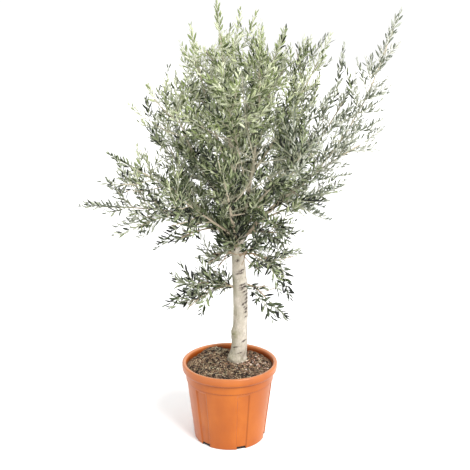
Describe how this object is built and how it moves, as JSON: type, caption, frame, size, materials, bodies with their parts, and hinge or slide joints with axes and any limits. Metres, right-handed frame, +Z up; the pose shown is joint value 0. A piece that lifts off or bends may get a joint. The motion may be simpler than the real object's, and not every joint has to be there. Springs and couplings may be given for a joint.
{
  "type": "potted olive tree",
  "caption": "Half-standard olive tree with an open crown of boughs and leafy shoots on a single trunk, growing in a round ribbed plastic pot of soil.",
  "frame": {"origin": "centre of the pot's flat underside", "axes": "+Z up through the pot, -Y to the front, from which the tree was pictured, +X to the right of that view"},
  "size_m": [1.2832, 0.931, 1.7867],
  "materials": {
    "pot": "terracotta-coloured moulded plastic, slightly satin",
    "soil": "damp crumbly potting mix",
    "bark": "pale grey-beige bark, smooth with darker cracks",
    "young_bark": "grey-brown young bark",
    "foliage": "narrow grey-green leaves, silvery beneath"
  },
  "bodies": {
    "root": {"pot": "pot", "soil": "soil", "trunk": "bark", "bough_centre": "young_bark", "bough_left": "young_bark", "bough_front": "young_bark", "bough_right": "young_bark", "bough_back": "young_bark", "bough_fore": "young_bark", "bough_left_far": "young_bark", "bough_left_low": "young_bark", "bough_left_under": "young_bark", "bough_left_shoulder": "young_bark", "bough_left_high": "young_bark", "bough_top_left": "young_bark", "bough_top_right": "young_bark", "bough_right_top": "young_bark", "bough_right_shoot": "young_bark", "bough_right_high": "young_bark", "bough_right_low": "young_bark", "bough_right_under": "young_bark", "bough_fore_right": "young_bark", "bough_fore_high": "young_bark", "bough_fore_left": "young_bark", "bough_back_right": "young_bark", "bough_back_left": "young_bark", "bough_back_high": "young_bark", "foliage_centre": "foliage", "foliage_left": "foliage", "foliage_front": "foliage", "foliage_right": "foliage", "foliage_back": "foliage", "foliage_fore": "foliage", "foliage_left_far": "foliage", "foliage_left_low": "foliage", "foliage_left_under": "foliage", "foliage_left_shoulder": "foliage", "foliage_left_high": "foliage", "foliage_top_left": "foliage", "foliage_top_right": "foliage", "foliage_right_top": "foliage", "foliage_right_shoot": "foliage", "foliage_right_high": "foliage", "foliage_right_low": "foliage", "foliage_right_under": "foliage", "foliage_fore_right": "foliage", "foliage_fore_high": "foliage", "foliage_fore_left": "foliage", "foliage_back_right": "foliage", "foliage_back_left": "foliage", "foliage_back_high": "foliage", "foliage_inner_left": "foliage", "foliage_inner_right": "foliage", "foliage_low_back": "foliage", "foliage_low_front": "foliage", "foliage_skirt_left": "foliage", "foliage_skirt_left_up": "foliage", "foliage_skirt_right": "foliage", "foliage_skirt_right_low": "foliage"}
  },
  "joints": []
}
